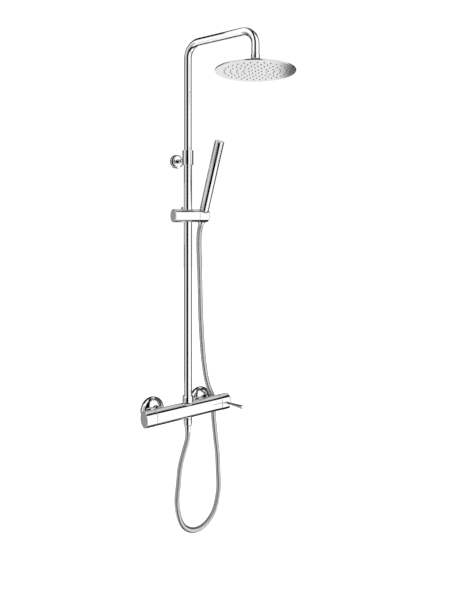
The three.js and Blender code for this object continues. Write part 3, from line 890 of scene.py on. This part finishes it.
HANDSET_R = 12.5
HANDSET_BORE = 9.9
HANDSET_SEAM = 208  # where the stick meets its end cap
HANDSET_TOP = 213
WINDOW = (150, 204)  # the spray plate's two ends, along the hand shower
WINDOW_HALF = math.degrees(math.acos(5.3 / HANDSET_R))  # half of the angle that it spans
WINDOW_CORNER = 4
WINDOW_TURN = Matrix.Rotation(math.radians(-31), 4, "Z")  # the hand shower stands turned in its holder
GAP = 0.3  # round the spray plate, and under the end cap


def curved_panel(bm, place, radius, thick, half_angle, low, high, corner):
    """A curved plate on the front of a cylinder, with round corners, made of a fine grid."""
    across, along = 32, 40
    width = math.radians(half_angle) * radius

    def inset(u):
        edge = max(0.0, abs(u) * width - (width - corner))
        return corner - math.sqrt(max(0.0, corner * corner - edge * edge))

    grids = []
    for depth in (0, thick):
        grid = []
        for i in range(across + 1):
            u = -1 + 2 * i / across
            angle = math.radians(-90) + u * math.radians(half_angle)
            cut = inset(u)
            column = []
            for k in range(along + 1):
                z = low + cut + (high - low - 2 * cut) * k / along
                r = radius - depth
                column.append(bm.verts.new(place @ Vector((r * math.cos(angle), r * math.sin(angle), z))))
            grid.append(column)
        grids.append(grid)
    front, back = grids
    for i in range(across):
        for k in range(along):
            bm.faces.new((front[i][k], front[i + 1][k], front[i + 1][k + 1], front[i][k + 1]))
            bm.faces.new((back[i][k], back[i][k + 1], back[i + 1][k + 1], back[i + 1][k]))
        for k in (0, along):
            bm.faces.new((front[i][k], front[i + 1][k], back[i + 1][k], back[i][k]))
    for i in (0, across):
        for k in range(along):
            bm.faces.new((front[i][k], front[i][k + 1], back[i][k + 1], back[i][k]))


def make_handset():
    """The hand shower: a hollow stick with a window cut in it, the spray plate there, and an end cap."""
    outside = [(9.4, 17), (9.4, 20), (HANDSET_R, 20, 0.6), (HANDSET_R, HANDSET_SEAM)]
    inside = [(HANDSET_BORE, HANDSET_SEAM), (HANDSET_BORE, 40), (7, 36), (7, 17)]
    body = lathe("handset_stick", "handset", LOOKS["chrome"], outside + inside, HANDSET, sides=128)
    low, high = WINDOW
    place = HANDSET @ WINDOW_TURN
    bm = bmesh.new()
    curved_panel(bm, place, HANDSET_R + 1, 5, WINDOW_HALF, low, high, WINDOW_CORNER)
    cut_with(body, bm)
    stands_for(body, "chrome", "handset_body")

    bm = bmesh.new()
    half = WINDOW_HALF - math.degrees(GAP / HANDSET_R)
    curved_panel(bm, place, HANDSET_R, 2.2, half, low + GAP, high - GAP, WINDOW_CORNER - GAP)
    plate = weighted(finished("handset_face", bm, "handset", LOOKS["chrome"], sharp=50))
    stands_for(plate, "chrome", "handset_spray_plate")

    spigot_r, cap_start = HANDSET_BORE - 0.3, HANDSET_SEAM + GAP
    spigot = [(0, 200), (spigot_r, 200), (spigot_r, cap_start)]
    top = [(HANDSET_R, cap_start, 0.2), (HANDSET_R, HANDSET_TOP, 1.1), (0, HANDSET_TOP)]
    cap = lathe("handset_cap", "handset", LOOKS["chrome"], spigot + top, HANDSET, sides=128)
    stands_for(cap, "chrome", "handset_end_cap")


def make_handset_nozzles():
    """Seven columns of nozzles, where every second column stands half a row higher and has one fewer."""
    columns = range(-54, 55, 18)
    rows = 8
    radius, height = 1.15, 0.8
    start, end = WINDOW[0] + 5.5, WINDOW[1] - 5.5
    bm = bmesh.new()
    for column, angle in enumerate(columns):
        odd = column % 2
        turn = Matrix.Rotation(math.radians(angle), 4, "Z")
        for row in range(rows - odd):
            z = start + (row + 0.5 * odd) * (end - start) / (rows - 1)
            spot = Matrix.Translation((0, -HANDSET_R, z)) @ Matrix.Rotation(math.pi / 2, 4, "X")
            nozzle(bm, HANDSET @ WINDOW_TURN @ turn @ spot, radius, height, 12)
    nozzles = finished("handset_nozzles", bm, "handset", LOOKS["rubber"])


make_holder()
make_upper_nut()
make_handset()
make_handset_nozzles()


# ---- studio ----
def lit(name, grey):
    """A flat glow, for the cards that the chrome mirrors."""
    material = bpy.data.materials.new(name)
    material.use_nodes = True
    tree = material.node_tree
    tree.nodes.clear()
    glow = tree.nodes.new("ShaderNodeEmission")
    glow.inputs["Color"].default_value = (grey, grey, grey, 1)
    glow.inputs["Strength"].default_value = 1.0
    out = tree.nodes.new("ShaderNodeOutputMaterial")
    tree.links.new(glow.outputs["Emission"], out.inputs["Surface"])
    return material


def rectangle(name, centre, facing, width, height, material):
    """A flat card that faces a point."""
    mesh = bpy.data.meshes.new(name)
    w, h = width / 2, height / 2
    mesh.from_pydata([(-w, -h, 0), (w, -h, 0), (w, h, 0), (-w, h, 0)], [], [(0, 1, 2, 3)])
    mesh.materials.append(material)
    made = bpy.data.objects.new(name, mesh)
    made.location = centre
    made.rotation_euler = (Vector(facing) - Vector(centre)).to_track_quat("Z", "Y").to_euler()
    bpy.context.scene.collection.objects.link(made)
    return made


CARD_CENTRE = RISER_FOOT + UP * 0.35  # half way up the column
WALL_DISTANCE = 6
STRIP_DISTANCE = 5
FLOOR_HEIGHT = -0.47
FLOOR_SIZE = 16
BLACK = 0.004
DARK = 0.01


def card(name, centre, facing, width, height, grey):
    """A card out of sight that the chrome mirrors."""
    made = rectangle(name, centre, facing, width, height, lit(name, grey))
    made.visible_camera = False
    made.visible_diffuse = False
    made.visible_shadow = False


def wall_card(name, azimuth, width, low, high, grey):
    """An upright card round the riser: its middle and width in degrees, from +X towards +Y, and its
    lower and upper edges in metres."""
    turn = math.radians(azimuth)
    level = CARD_CENTRE.xy.to_3d() + UP * (low + high) / 2
    centre = level + WALL_DISTANCE * Vector((math.cos(turn), math.sin(turn), 0))
    across = 2 * WALL_DISTANCE * math.tan(math.radians(width) / 2)
    card(name, centre, level, across, high - low, grey)


def tilted_card(name, azimuth, elevation, width, height, grey):
    """A card high above or far below: where its middle is, and its width and height, in degrees."""
    turn, rise = math.radians(azimuth), math.radians(elevation)
    out = Vector((math.cos(turn) * math.cos(rise), math.sin(turn) * math.cos(rise), math.sin(rise)))
    across, along = (2 * WALL_DISTANCE * math.tan(math.radians(size) / 2) for size in (width, height))
    card(name, CARD_CENTRE + WALL_DISTANCE * out, CARD_CENTRE, across, along, grey)


def strip_card(name, roll, spread, left, right, grey):
    """A card parallel to the bar: its middle and spread in degrees round the bar, from +Y upwards,
    and its ends in metres."""
    turn = math.radians(roll)
    axis = Vector(((left + right) / 2, CARD_CENTRE.y, CARD_CENTRE.z))
    centre = axis + STRIP_DISTANCE * Vector((0, math.cos(turn), math.sin(turn)))
    across = 2 * STRIP_DISTANCE * math.tan(math.radians(spread) / 2)
    card(name, centre, axis, right - left, across, grey)


def make_floor():
    """A white floor under the column, which the chrome doesn't mirror."""
    floor = Nodes("floor")
    floor.tint(floor.spread(floor.noise(1.5), 0, 1), (0.93, 0.93, 0.93), (0.95, 0.95, 0.95))
    floor.set(Roughness=0.8, Emission_Color=(1, 1, 1, 1), Emission_Strength=0.35)
    made = rectangle("floor", (0, 0, FLOOR_HEIGHT), (0, 0, 1), FLOOR_SIZE, FLOOR_SIZE, floor.material)
    made.visible_glossy = False


def make_world():
    """White all round."""
    world = bpy.data.worlds.new("studio")
    world.use_nodes = True
    bpy.context.scene.world = world
    background = world.node_tree.nodes["Background"]
    background.inputs["Color"].default_value = (1, 1, 1, 1)
    background.inputs["Strength"].default_value = 1.05


def make_cards():
    """What the chrome mirrors: black flags, and grey cards that stand for a room."""
    wall_card("flag_front_left", 227.5, 48, -14, 13, BLACK)
    tilted_card("flag_overhead", 240, 85, 32, 48, BLACK)
    tilted_card("flag_underfoot", 240, -80, 32, 44, BLACK)
    wall_card("flag_front_low", 257.5, 13, -9, -2.5, BLACK)
    wall_card("side_left", 187, 34, -4, 2.8, 0.48)
    wall_card("side_left_far", 147.5, 23, -4, 2.8, 0.48)
    wall_card("side_back_left_low", 118, 36, -5, -1.75, 0.29)
    wall_card("flag_back_left", 118, 36, -1.75, 0.15, DARK)
    wall_card("side_back_left", 118, 36, 0.15, 1.0, 0.29)
    wall_card("flag_back_left_high", 118, 36, 1.0, 4, DARK)
    wall_card("flag_back", 85, 30, -3, 4, DARK)
    wall_card("back_low", 58.5, 22, -3, -1.6, 0.28)
    wall_card("back", 58.5, 22, -1.6, 0.0, 0.98)
    wall_card("back_high", 58.5, 22, 0.0, 4, 0.28)
    wall_card("side_right", 10.75, 73.5, -3, 22, 0.05)
    strip_card("flag_low", -63, 84, -0.3, 4.5, BLACK)
    strip_card("flag_high", 106, 26, 1.2, 4.8, BLACK)
    strip_card("top_right", 63, 56, 1.8, 3.7, 0.60)
    strip_card("flag_top", 46, 42, -5.5, 1.8, DARK)


make_floor()
make_world()
make_cards()
bpy.context.scene.view_settings.view_transform = "Standard"
